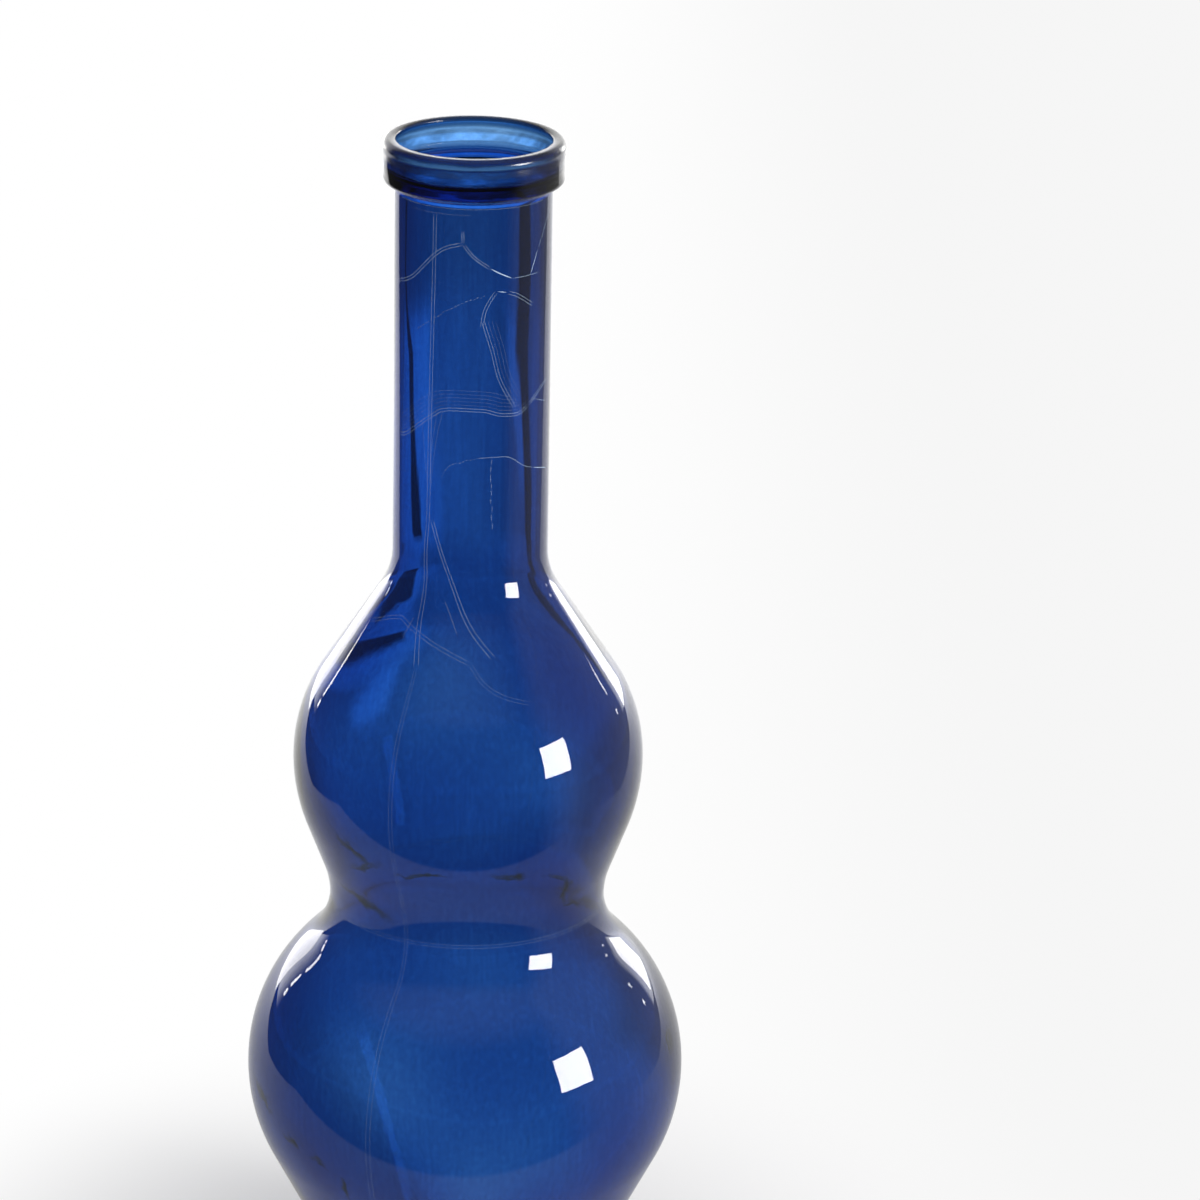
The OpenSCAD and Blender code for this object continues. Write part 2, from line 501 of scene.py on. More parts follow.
@dataclass
class BlownGlass:
    """The whole glass of the vase as one closed skin with its outside and its inside.

    Attributes:
        outline: Sizes of the half section.
        spacing: How close the rows and columns lie.
        ring_depth: Depth of the crease where the two mould halves end at the waist.
        ring_reach: How far the crease spreads up and down.
        slow_waves: Slow waves of the outside.
        inner_waves: Uneven inside, most of all in the bulbs.
        neck_streaks: Fine uprights on the bore of the neck.
        mouth_pebbles: Pebbled inside of the mouth.
        collar_waves: Uneven outside of the collar.
        plain_foot: Height up to which the outside has no waves.
        foot_rise: How far above it they grow to their full height.
        lip_rise: How far below the crown they fade.
        held_in: How far the widest rings lie inside the model, so that no wave passes it.
        held_reach: How far that spreads up and down from the lower bulb.
        held_lip: How far down from the crown the lip has it too.
        collar_rise: How far the collar's waves take to grow.
        crown_plain: How far inside from the crown there are no waves.
        crown_rise: How far they take to grow there.
        floor_plain: Distance from the axis up to which the floor has no waves.
        floor_rise: How far they take to grow there.
        neck_drop: How far below the flare the neck's share of the waves starts to grow.
        neck_rise: How far it takes.
        neck_share: Share of the inner waves that the neck has.
        streaks_drop: How far below the collar the streaks end.
        streaks_rise: How far they take to grow.
        pebbles_up: How far above the foot of the collar the pebbles start.
        pebbles_rise: How far they take to grow.
        pebbles_end: How far below the crown they end, and how far they take to fade.
        seam_gap: How far from the foot and the collar no line is laid.
        look: How far to each side the direction of the surface is read.
    """

    outline: Outline = field(default_factory=Outline)
    spacing: Spacing = field(default_factory=Spacing)
    ring_depth: float = 0.3 * MM
    ring_reach: float = 5 * MM
    slow_waves: Waves = Waves(11, 10, 0.12, 0.16, 0.10 * MM)
    inner_waves: Waves = Waves(23, 16, 0.05, 0.12, 0.28 * MM)
    neck_streaks: Waves = Waves(37, 14, 0.016, 0.22, 0.018 * MM)
    mouth_pebbles: Waves = Waves(53, 60, 0.0042, 0.006, 0.02 * MM)
    collar_waves: Waves = Waves(61, 18, 0.022, 0.02, 0.10 * MM)
    plain_foot: float = 2 * MM
    foot_rise: float = 20 * MM
    lip_rise: float = 9 * MM
    held_in: float = 0.35 * MM
    held_reach: float = 60 * MM
    held_lip: float = 6 * MM
    collar_rise: float = 4 * MM
    crown_plain: float = 3 * MM
    crown_rise: float = 6 * MM
    floor_plain: float = 5 * MM
    floor_rise: float = 30 * MM
    neck_drop: float = 20 * MM
    neck_rise: float = 60 * MM
    neck_share: float = 0.12
    streaks_drop: float = 4 * MM
    streaks_rise: float = 30 * MM
    pebbles_up: float = 2 * MM
    pebbles_rise: float = 4 * MM
    pebbles_end: float = 3 * MM
    seam_gap: float = 1 * MM
    look: float = 0.5 * MM

    def columns(self) -> Array:
        """Gives the azimuth of each column."""
        return np.radians(np.linspace(-180, 180, self.spacing.columns, endpoint=False))

    def rows(self, line: Array, side: Side) -> tuple[Array, Array, Array]:
        """Spreads rows along a line of the half section.

        Args:
            line: Rows of distance from the axis and height.
            side: Which skin the line is.

        Returns:
            The rows' points, their outward directions in the half section and their lengths along.
        """
        s = self.spacing
        length = lengths(line)
        probe = np.linspace(0, length[-1], int(length[-1] / s.probe))
        height = np.interp(probe, length, line[:, 1])
        gap = np.full(len(probe), s.bulb if side is Side.OUTSIDE else s.inner)
        if side is Side.OUTSIDE:
            gap[height > self.outline.flare_z - s.below_flare] = s.neck
        gap[height > self.outline.collar_z - s.below_collar] = s.rim
        window = np.ones(2 * s.blend + 1) / (2 * s.blend + 1)
        gap = np.convolve(np.pad(gap, s.blend, mode="edge"), window, mode="valid")
        load = np.concatenate([[0], np.cumsum(s.probe / gap[:-1])])
        count = int(load[-1]) + 1
        along = np.interp(np.linspace(0, load[-1], count), load, probe)
        way = places(line, length, along + s.look) - places(line, length, along - s.look)
        way /= np.hypot(*way.T)[:, None]
        return places(line, length, along), np.stack([way[:, 1], -way[:, 0]], 1), along

    def calm_lift(self, turn: Array, height: Array, along: Array) -> Array:
        """Gives the lift that all of the outside has: slow waves, the crease, no more than the model.

        Args:
            turn: Azimuth of each vertex in radians.
            height: Height of each vertex.
            along: Length along the half section of each vertex.

        Returns:
            The lift in metres.
        """
        o = self.outline
        calm = risen(height, self.plain_foot, self.foot_rise) * risen(o.top_z - height, 0, self.lip_rise)
        on_bulb = np.exp(-((height - o.lower_z) / self.held_reach) ** 2)
        widest = np.maximum(on_bulb, height > o.top_z - self.held_lip)
        lift = (self.slow_waves.field(turn, along) - widest * self.held_in) * calm
        return lift - self.ring_depth * np.exp(-np.abs(height - o.waist_z) / self.ring_reach)

    def outer_lift(self, turn: Array, point: Array, along: Array) -> Array:
        """Gives how far each outer vertex stands off the plain outline.

        Args:
            turn: Azimuth of each column in radians.
            point: Distance from the axis and height of each row.
            along: Length along the half section of each row.

        Returns:
            The lift in metres, by row and column.
        """
        height = np.broadcast_to(point[:, 1:], (len(point), len(turn)))
        around = np.broadcast_to(turn[None, :], height.shape)
        lift = self.calm_lift(around, height, along[:, None])
        on_collar = risen(height, self.outline.collar_z, self.collar_rise)
        on_collar = on_collar * risen(self.outline.top_z - height, 0, self.lip_rise)
        return lift + self.collar_waves.field(around, along[:, None]) * on_collar

    def inner_lift(self, turn: Array, point: Array, along: Array) -> Array:
        """Gives how far each inner vertex stands off the plain outline, into the hollow.

        Args:
            turn: Azimuth of each column in radians.
            point: Distance from the axis and height of each row.
            along: Length along the half section of each row.

        Returns:
            The lift in metres, by row and column.
        """
        height = np.broadcast_to(point[:, 1:], (len(point), len(turn)))
        around = np.broadcast_to(turn[None, :], height.shape)
        o = self.outline
        calm = risen(along[:, None], self.crown_plain, self.crown_rise)
        calm = calm * risen(point[:, :1], self.floor_plain, self.floor_rise)
        below_neck = risen(o.flare_z - height, self.neck_drop, self.neck_rise)
        share = self.neck_share + (1 - self.neck_share) * below_neck
        lift = self.inner_waves.field(around, along[:, None]) * calm * share
        on_neck = (1 - below_neck) * risen(o.collar_z - height, self.streaks_drop, self.streaks_rise)
        lift = lift + on_neck * self.neck_streaks.field(around, along[:, None])
        in_mouth = risen(height - o.collar_z, self.pebbles_up, self.pebbles_rise)
        in_mouth = in_mouth * risen(o.top_z - height, self.pebbles_end, self.pebbles_end)
        return lift + in_mouth * self.mouth_pebbles.field(around, along[:, None])

    def surface(self, turn: Array, height: Array) -> tuple[Array, Array]:
        """Finds places on the outside between the foot and the collar.

        Args:
            turn: Azimuth of each place in radians.
            height: Height of each place.

        Returns:
            The points, and the directions square to the surface there.
        """
        line = self.outline.outside()
        length = lengths(line)
        rising = np.arange(len(line)) >= np.argmin(line[:, 1])
        rising &= (line[:, 1] > self.seam_gap) & (line[:, 1] < self.outline.collar_z - self.seam_gap)
        line, length = line[rising], length[rising]
        along = np.interp(height, line[:, 1], length)
        way = places(line, length, along + self.look) - places(line, length, along - self.look)
        way /= np.maximum(np.hypot(*way.T), TINY)[:, None]
        square = np.stack([way[:, 1], -way[:, 0]], 1)
        place = places(line, length, along) + square * self.calm_lift(turn, height, along)[:, None]
        points, ways = (
            np.stack([flat[:, 0] * np.sin(turn), -flat[:, 0] * np.cos(turn), flat[:, 1]], 1)
            for flat in (place, square)
        )
        return points, ways

    def vertices(self) -> tuple[Array, list[int]]:
        """Works out every ring of vertices.

        Returns:
            The points, and the number of vertices in each ring from the push-up to the floor.
        """
        turn = self.columns()
        rings, counts = [], []
        for side, line in ((Side.OUTSIDE, self.outline.outside()), (Side.INSIDE, self.outline.inside())):
            here = turn if side is Side.OUTSIDE else turn[:: self.spacing.inner_per_outer]
            point, way, along = self.rows(line, side)
            point, way, along = (x[1:] if side is Side.OUTSIDE else x[1:-1] for x in (point, way, along))
            lift = (self.outer_lift if side is Side.OUTSIDE else self.inner_lift)(here, point, along)
            reach = point[:, :1] + way[:, :1] * lift
            height = point[:, 1:] + way[:, 1:] * lift
            ring = np.stack([reach * np.sin(here), -reach * np.cos(here), height + 0 * here], 2)
            rings.extend(ring)
            counts.extend([len(here)] * len(ring))
        punt = np.array([[0, 0, self.outline.punt_h]])
        floor = np.array([[0, 0, self.outline.punt_h + self.outline.floor_t]])
        return np.concatenate([punt, *rings, floor]), [1, *counts, 1]

    @staticmethod
    def faces(counts: Sequence[int]) -> list[tuple[int, ...]]:
        """Joins neighbouring rings with faces that look out of the glass.

        Args:
            counts: Number of vertices in each ring.

        Returns:
            The corners of each face.
        """
        faces: list[tuple[int, ...]] = []
        start = 0
        for here, there in zip(counts, counts[1:]):
            low, high = start, start + here
            if here == 1:
                faces += [(low, high + (k + 1) % there, high + k) for k in range(there)]
            elif there == 1:
                faces += [(low + k, low + (k + 1) % here, high) for k in range(here)]
            elif here == there:
                faces += [
                    (low + k, low + (k + 1) % here, high + (k + 1) % here, high + k) for k in range(here)
                ]
            else:
                for k in range(there):
                    a, b, c = low + 2 * k, low + 2 * k + 1, low + (2 * k + 2) % here
                    near, far = high + k, high + (k + 1) % there
                    faces += [(a, b, near), (b, far, near), (b, c, far)]
            start += here
        return faces

    def build(self, finish: "BlueGlass") -> bpy.types.Object:
        """Makes the glass, dresses it and sets it in place of the model's nine sections.

        Args:
            finish: The glass that it is made of.

        Returns:
            The piece.
        """
        points, counts = self.vertices()
        mesh = bpy.data.meshes.new("blown_glass")
        mesh.from_pydata(points.tolist(), [], self.faces(counts))
        mesh.validate()
        mesh.polygons.foreach_set("use_smooth", np.ones(len(mesh.polygons), bool))
        mesh.materials.append(finish.material())
        piece = bpy.data.objects.new("blown_glass", mesh)
        bpy.context.scene.collection.objects.link(piece)
        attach(piece, BODY)
        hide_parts("base", "heel", "lower_bulb", "waist", "upper_bulb", "shoulder", "neck",
                    "collar", "lip")
        return piece


@dataclass
class FineLines:
    """Threads of glass on the skin: lap lines, cords, mould seams and the mould ring, pale to paint the
    glints that they catch.

    Attributes:
        glass: The skin that they lie on.
        proud: How far the crown of a thread stands out.
        sunk: How far its sides go into the glass.
        ring_drop_mm: How far the mould ring lies below the narrowest place of the waist.
        profile: Section of a thread, as shares of its half width and its height.
        taper_points: How many points the end of a thread takes to reach its full size.
        taper_start: Size of its very end, in points along that rise.
        step_mm: Distance between two points of a whole line.
        broken_step_mm: Distance between two points of a broken line.
        ripple_mm: How far the first ripple lies beside its line.
        ripple_each_mm: How much further each next one lies.
        ripple_width_mm: Half width of a ripple.
        ripple_cuts: How much shorter each next ripple starts and ends, as one part in so many.
        wander_mm: How far a part of a broken line may lie aside.
        shortest: Fewest points of a part of a broken line.
        ring_step: Degrees between two points of the mould ring.
    """

    glass: BlownGlass
    proud: float = 0.12 * MM
    sunk: float = 0.05 * MM
    ring_drop_mm: float = 1.5
    profile: tuple[tuple[float, float], ...] = ((-1, 0), (-0.72, 0.6), (0, 1), (0.72, 0.6), (1, 0))
    taper_points: float = 4
    taper_start: float = 0.35
    step_mm: float = 0.8
    broken_step_mm: float = 0.3
    ripple_mm: float = 2.8
    ripple_each_mm: float = 2.2
    ripple_width_mm: float = 0.16
    ripple_cuts: tuple[int, int] = (40, 30)
    wander_mm: float = 0.5
    shortest: int = 3
    ring_step: int = 12

    @staticmethod
    def seams() -> tuple[Line, ...]:
        """Gives the two mould seams from the heel to the collar, the one behind straight across.

        Returns:
            The lines.
        """
        bulbs = ((-24, 40), (-24, 124), (-24, 189), (-24, 308), (-24, 382), (-24, 445))
        neck = ((-24, 445), (-31, 476), (-33, 506), (-31, 533), (-30, 592), (-28, 665), (-27, 716))
        behind = tuple((turn + 180, height) for turn, height in bulbs + neck[1:])
        return (
            Line(bulbs, Strength.HINT, 0.18, 1.9),
            Line(neck, Strength.PLAIN, 0.14, 1.9),
            Line(behind, Strength.HINT, 0.2),
        )

    def ring(self) -> tuple[Line, ...]:
        """Gives the ring at the waist where the mould halves end.

        Returns:
            The line that goes round.
        """
        height = self.glass.outline.waist_z / MM - self.ring_drop_mm
        course = tuple((turn, height) for turn in range(-180, 181, self.ring_step))
        return (Line(course, Strength.HINT, 0.2, 1.8),)

    def thread(self, path: Array, width: float) -> tuple[Array, list[tuple[int, ...]]]:
        """Makes one closed thread along a path.

        Args:
            path: Rows of azimuth in degrees and height in mm.
            width: Half width.

        Returns:
            Its points and its faces.
        """
        points, square = self.glass.surface(np.radians(path[:, 0]), path[:, 1] * MM)
        ahead = np.gradient(points, axis=0)
        across = np.cross(ahead, square)
        across /= np.maximum(np.linalg.norm(across, axis=1), TINY)[:, None]
        ends = np.minimum(np.arange(len(path)), np.arange(len(path))[::-1])
        taper = risen(ends, -self.taper_start, self.taper_points)[:, None]
        tall = self.proud + self.sunk
        rings = [
            points + across * (side * width) * taper + square * (tall * rise * taper - self.sunk)
            for side, rise in self.profile
        ]
        size = len(self.profile)
        mesh = np.stack(rings, 1).reshape(-1, 3)
        first, last = tuple(range(size)), tuple(range(len(mesh) - 1, len(mesh) - size - 1, -1))
        faces: list[tuple[int, ...]] = [first, last]
        for k in range(len(path) - 1):
            for j in range(size):
                a, b = k * size + j, k * size + (j + 1) % size
                faces.append((a, a + size, b + size, b))
        return mesh, faces

    def runs(self, line: Line) -> list[tuple[Array, float, Strength]]:
        """Splits a line into its single threads.

        Args:
            line: The line.

        Returns:
            Path, half width and strength of each thread.
        """
        middle = np.mean([z for _, z in line.course])
        reach_mm = np.hypot(*self.glass.surface(np.zeros(1), np.array([middle * MM]))[0][0, :2]) / MM
        path = line.path(reach_mm, self.broken_step_mm if line.broken else self.step_mm)
        runs = []
        if line.broken:
            draw = np.random.default_rng(len(path) + line.broken)
            for part in np.array_split(np.arange(len(path)), line.broken):
                if len(part) > self.shortest:
                    kept = part[: max(self.shortest, len(part) - int(draw.integers(1, 3)))]
                    aside = float(draw.uniform(-self.wander_mm, self.wander_mm))
                    runs.append((line.shifted(path[kept], aside, reach_mm), line.width_mm, line.strength))
        else:
            for aside in (-line.gap_mm / 2, line.gap_mm / 2) if line.gap_mm else (0.0,):
                runs.append((line.shifted(path, aside, reach_mm), line.width_mm, line.strength))
            for k in range(abs(line.ripples)):
                aside = math.copysign(self.ripple_mm + self.ripple_each_mm * k, line.ripples)
                first, last = (len(path) * k // cut for cut in self.ripple_cuts)
                short = line.shifted(path[first: len(path) - last], aside, reach_mm)
                runs.append((short, self.ripple_width_mm, Strength.HINT))
        return [(points, width * MM, strength) for points, width, strength in runs]

    def build(self, name: str, lines: Sequence[Line]) -> bpy.types.Object:
        """Makes one piece of several lines.

        Args:
            name: Name of the piece.
            lines: The lines.

        Returns:
            The piece.
        """
        kinds = list(Strength)
        points, faces, slots = [], [], []
        count = 0
        for line in lines:
            for path, width, strength in self.runs(line):
                mesh, sides = self.thread(path, width)
                points.append(mesh)
                faces += [tuple(k + count for k in face) for face in sides]
                slots += [kinds.index(strength)] * len(sides)
                count += len(mesh)
        mesh = bpy.data.meshes.new(name)
        mesh.from_pydata(np.concatenate(points).tolist(), [], faces)
        mesh.polygons.foreach_set("use_smooth", np.ones(len(faces), bool))
        # Each strength gets a pale material that paints the thread's glint.
        for kind in kinds:
            mesh.materials.append(PaintedGlintThread(kind).material())
        mesh.polygons.foreach_set("material_index", slots)
        piece = bpy.data.objects.new(name, mesh)
        bpy.context.scene.collection.objects.link(piece)
        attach(piece, BODY)
        return piece


@dataclass(frozen=True)
class Fade:
    """A smooth step from one value to another.

    Attributes:
        low: Where it starts.
        high: Where it ends.
        at_low: Value up to its start.
        at_high: Value from its end on.
    """

    low: float
    high: float
    at_low: float = 0.0
    at_high: float = 1.0


@dataclass(frozen=True)
class Band:
    """A smooth band, 1 round its middle and 0 outside.

    Attributes:
        flat: Half width of the part that is 1.
        edge: Half width at which it is down to 0.
        middle: Its middle, where the call gives none.
    """

    flat: float
    edge: float
    middle: float = 0.0


@dataclass(frozen=True)
class Course:
    """A direction on the floor that changes evenly with the distance from the vase.

    Attributes:
        each: How many degrees it changes for each metre.
        base: Direction that it would have at the vase, in degrees.
        since: Distance up to which it keeps its first direction.
        till: Distance from which it keeps its last direction.
    """

    each: float
    base: float
    since: float = 0.0
    till: float = 9.0


@dataclass(frozen=True)
class Grain:
    """Noise on the glass.

    Attributes:
        scale: How quickly it changes to the right, to the back and upwards.
        detail: How many finer layers it has.
    """

    scale: tuple[float, float, float]
    detail: float = 2.0


class Sheet:
    """Short calls that make and link nodes in one node tree."""

    def __init__(self, tree: bpy.types.NodeTree) -> None:
        """Clears the tree and keeps it."""
        tree.nodes.clear()
        self.tree = tree

    def node(self, kind: str, inputs: dict | None = None, **settings) -> bpy.types.Node:
        """Adds a node.

        Args:
            kind: Type of the node, without the ShaderNode in front.
            inputs: Value or socket for each input, by its name or index.
            **settings: The node's own settings.

        Returns:
            The node.
        """
        node = self.tree.nodes.new("ShaderNode" + kind)
        for name, value in settings.items():
            setattr(node, name, value)
        for key, value in (inputs or {}).items():
            if isinstance(value, bpy.types.NodeSocket):
                self.tree.links.new(value, node.inputs[key])
            else:
                node.inputs[key].default_value = value
        return node

    def math(self, operation: str, *values: float | Socket) -> Socket:
        """Adds a sum of one to three values and gives its result."""
        return self.node("Math", dict(enumerate(values)), operation=operation).outputs[0]

    def total(self, *values: float | Socket) -> Socket:
        """Adds up any number of values and gives the result."""
        return reduce(lambda first, last: self.math("ADD", first, last), values)

    def product(self, *values: float | Socket) -> Socket:
        """Multiplies any number of values and gives the result."""
        return reduce(lambda first, last: self.math("MULTIPLY", first, last), values)

    def fade(self, value: Socket, fade: Fade) -> Socket:
        """Adds a smooth step and gives its result."""
        inputs = {0: value, 1: fade.low, 2: fade.high, 3: fade.at_low, 4: fade.at_high}
        return self.node("MapRange", inputs, interpolation_type="SMOOTHSTEP", clamp=True).outputs[0]

    def bell(self, value: Socket, band: Band, middle: Socket | None = None) -> Socket:
        """Adds a smooth band, round its own middle or a given one, and gives its result."""
        off = self.math("ABSOLUTE", self.math("SUBTRACT", value, band.middle if middle is None else middle))
        return self.fade(off, Fade(band.flat, band.edge, 1.0, 0.0))

    def course(self, far: Socket, course: Course) -> Socket:
        """Adds a direction that changes with the distance and gives its result."""
        held = self.math("MINIMUM", self.math("MAXIMUM", far, course.since), course.till)
        return self.math("MULTIPLY_ADD", held, course.each, course.base)

    def turn(self, x: Socket, y: Socket) -> Socket:
        """Adds the direction of a place in degrees, 0 towards the viewer and more to the right."""
        return self.math("DEGREES", self.math("ARCTAN2", x, self.product(y, -1.0)))

    def noise(self, place: Socket, grain: Grain) -> bpy.types.Node:
        """Adds a noise and gives its node."""
        laid = self.node("Mapping", {"Vector": place, "Scale": grain.scale}).outputs[0]
        return self.node("TexNoise", {"Vector": laid, "Scale": 1.0, "Detail": grain.detail})

    def mix(self, share: float | Socket, first: float | Socket, last: float | Socket) -> Socket:
        """Adds a mix of two numbers and gives its result."""
        return self.node("Mix", {0: share, 2: first, 3: last}, data_type="FLOAT").outputs[0]

    def blend(self, share: Socket, first: Socket | tuple, last: Socket | tuple) -> Socket:
        """Adds a mix of two colours and gives its result."""
        return self.node("Mix", {0: share, 6: first, 7: last}, data_type="RGBA").outputs[2]


@dataclass(frozen=True)
class Smudge:
    """A brown smudge on the front of the glass, as a soft ellipse.

    Attributes:
        across_mm: Place of its middle to the right of the axis.
        height_mm: Height of its middle.
        long_mm: Half length.
        thin_mm: Half width.
        tilt: How steeply its length climbs to the right, in degrees.
        softness: Share of brown, by distance from its middle in half lengths.
    """

    across_mm: float
    height_mm: float
    long_mm: float
    thin_mm: float
    tilt: float
    softness: Fade = Fade(0.2, 1.5, 1.0, 0.0)

    def mask(self, sheet: Sheet, place: Socket) -> Socket:
        """Adds the smudge to a node tree.

        Args:
            sheet: The node tree.
            place: Place to the right, nothing, and height.

        Returns:
            The share of brown, from 0 to 1.
        """
        laid = sheet.node("Mapping", {
            "Vector": place,
            "Location": (self.across_mm * MM, 0, self.height_mm * MM),
            "Rotation": (0, -math.radians(self.tilt), 0),
            "Scale": (self.long_mm * MM, 1, self.thin_mm * MM),
        }, vector_type="TEXTURE")
        off = sheet.node("VectorMath", {0: laid.outputs[0]}, operation="LENGTH").outputs["Value"]
        return sheet.fade(off, self.softness)


def smudges() -> tuple[Smudge, ...]:
    """Gives the smudges at the collar, the waist and low on the lower bulb.

    Returns:
        The smudges.
    """
    return (
        Smudge(30, 729, 24, 3.0, 6),
        Smudge(-59, 291, 15, 2.8, -18),
        Smudge(-66, 331, 13, 2.2, -34),
        Smudge(-59, 322, 8, 1.8, 32),
        Smudge(-24, 323, 15, 1.0, 9),
        Smudge(27, 324, 10, 1.5, -7),
        Smudge(32, 324, 4, 2.6, 0),
        Smudge(55, 318, 7, 1.4, -23),
        Smudge(59, 306, 11, 1.8, -96),
        Smudge(64, 292, 7, 1.6, -26),
        Smudge(-121, 159, 8, 2.4, -46),
        Smudge(-101, 142, 6, 1.8, -36),
        Smudge(-83, 136, 4, 1.6, -24),
        Smudge(-69, 123, 9, 1.8, -71),
        Smudge(126, 192, 11, 1.8, -89),
    )


@dataclass(frozen=True)
class BlueGlass:
    """Clear deep blue glass with the fine ripples that drawing out leaves on its skin.

    Attributes:
        tint: Colour that the glass lets through at great depth.
        depth: Absorption per metre.
        ior: Index of refraction.
        gloss: Roughness of the polished skin.
        ripple: Strength of the fine ripples.
        ripple_depth: Depth of the fine ripples.
        streak_grain: Grain of the ripples that run along the neck.
        pebble_grain: Grain of the ripples that run no way.
        streak_share: Share of the first in all ripples.
        streak_tone: Which ripples are dark.
        streak_colour: What the darkest of them lets through.
        lip_start: Height at which the fire-polished lip starts, by distance from the axis.
        lip_edge: How it starts above that height.
        lip_shade_tint: Brown-grey tint that darkens the light through the lip: painted shade, so the rim
            reads grey-brown under its reflections.
        lip_gloss: Roughness of the lip.
        mouth_rise: Height at which the pebbled inside of the mouth starts.
        mouth_within: Distance from the axis within which the glass is the inside of the mouth.
        mouth_gloss: Roughness of the pebbled inside of the mouth.
        mouth_grain: Grain of the pebbles' colour.
        mouth_tone: Which pebbles are dark.
        mouth_colour: What the darkest of them lets through.
        collar_rise: Height at which the streaked front of the collar starts.
        collar_beyond: Distance from the axis beyond which the glass is the outside of the collar.
        collar_front: Place to the back at which the streaks end.
        collar_grain: Grain of the streaks on the collar.
        collar_tone: Which of them are dark.
        collar_dark: What the darkest of them lets through.
        collar_pale: What the palest of them lets through.
        smudge_grain: Grain that the smudges wander by.
        smudge_wander: How far they wander.
        smudge_front: Place to the back at which they end.
        smudge_colour: What a smudge lets through.
    """

    tint: tuple[float, float, float] = (0.02, 0.423, 0.739)
    depth: float = 542.0
    ior: float = 1.5
    gloss: float = 0.012
    ripple: float = 0.35
    ripple_depth: float = 0.02 * MM
    streak_grain: Grain = Grain((420, 420, 26))
    pebble_grain: Grain = Grain((260, 260, 260))
    streak_share: float = 0.6
    streak_tone: Fade = Fade(0.42, 0.62)
    streak_colour: tuple[float, float, float] = (0.86, 0.88, 0.91)
    lip_start: Fade = Fade(48.9 * MM, 50.5 * MM, 747.5 * MM, 738 * MM)
    lip_edge: Fade = Fade(0.0, 2 * MM)
    lip_shade_tint: tuple[float, float, float] = (0.42, 0.33, 0.26)
    lip_gloss: float = 0.2
    mouth_rise: Fade = Fade(731 * MM, 734 * MM)
    mouth_within: Fade = Fade(49.5 * MM, 50.5 * MM, 1.0, 0.0)
    mouth_gloss: float = 0.22
    mouth_grain: Grain = Grain((900, 900, 900), 1.0)
    mouth_tone: Fade = Fade(0.42, 0.60)
    mouth_colour: tuple[float, float, float] = (0.76, 0.83, 0.90)
    collar_rise: Fade = Fade(725 * MM, 728 * MM)
    collar_beyond: Fade = Fade(50.5 * MM, 51.5 * MM)
    collar_front: Fade = Fade(0.0, 15 * MM, 1.0, 0.0)
    collar_grain: Grain = Grain((70, 70, 420), 3.0)
    collar_tone: Fade = Fade(0.40, 0.62)
    collar_dark: tuple[float, float, float] = (0.26, 0.26, 0.30)
    collar_pale: tuple[float, float, float] = (0.64, 0.64, 0.68)
    smudge_grain: Grain = Grain((90, 90, 90))
    smudge_wander: float = 12 * MM
    smudge_front: Fade = Fade(-30 * MM, -20 * MM, 1.0, 0.0)
    smudge_colour: tuple[float, float, float] = (0.42, 0.30, 0.10)

    def smudged(self, sheet: Sheet, place: Socket) -> Socket:
        """Adds all smudges to a node tree.

        Args:
            sheet: The node tree.
            place: Place on the glass.

        Returns:
            The share of brown, from 0 to 1.
        """
        wander = sheet.noise(place, self.smudge_grain).outputs["Color"]
        wander = sheet.node("VectorMath", {0: wander, 1: (0.5, 0.5, 0.5)}, operation="SUBTRACT").outputs[0]
        steps = {0: wander, 1: (self.smudge_wander,) * 3, 2: place}
        moved = sheet.node("VectorMath", steps, operation="MULTIPLY_ADD").outputs[0]
        flat = sheet.node("VectorMath", {0: moved, 1: (1, 0, 1)}, operation="MULTIPLY").outputs[0]
        masks = [smudge.mask(sheet, flat) for smudge in smudges()]
        share = reduce(lambda first, last: sheet.math("MAXIMUM", first, last), masks)
        back = sheet.node("SeparateXYZ", {0: place}).outputs[1]
        return sheet.product(share, sheet.fade(back, self.smudge_front))

    def skin(self, sheet: Sheet, place: Socket, rise: Socket, in_mouth: Socket, on_collar: Socket) -> Socket:
        """Adds the colour of the glass below the lip.

        Args:
            sheet: The node tree.
            place: Place on the glass.
            rise: Height of the ripples.
            in_mouth: Share of the pebbled inside of the mouth.
            on_collar: Share of the collar's streaked front.

        Returns:
            The colour that the skin lets through.
        """
        white = (1, 1, 1, 1)
        clear = sheet.blend(sheet.fade(rise, self.streak_tone), (*self.streak_colour, 1), white)
        pebbles = sheet.fade(sheet.noise(place, self.mouth_grain).outputs[0], self.mouth_tone)
        clear = sheet.blend(in_mouth, clear, sheet.blend(pebbles, (*self.mouth_colour, 1), white))
        streaks = sheet.fade(sheet.noise(place, self.collar_grain).outputs[0], self.collar_tone)
        streaky = sheet.blend(streaks, (*self.collar_dark, 1), (*self.collar_pale, 1))
        clear = sheet.blend(on_collar, clear, streaky)
        return sheet.blend(self.smudged(sheet, place), clear, (*self.smudge_colour, 1))

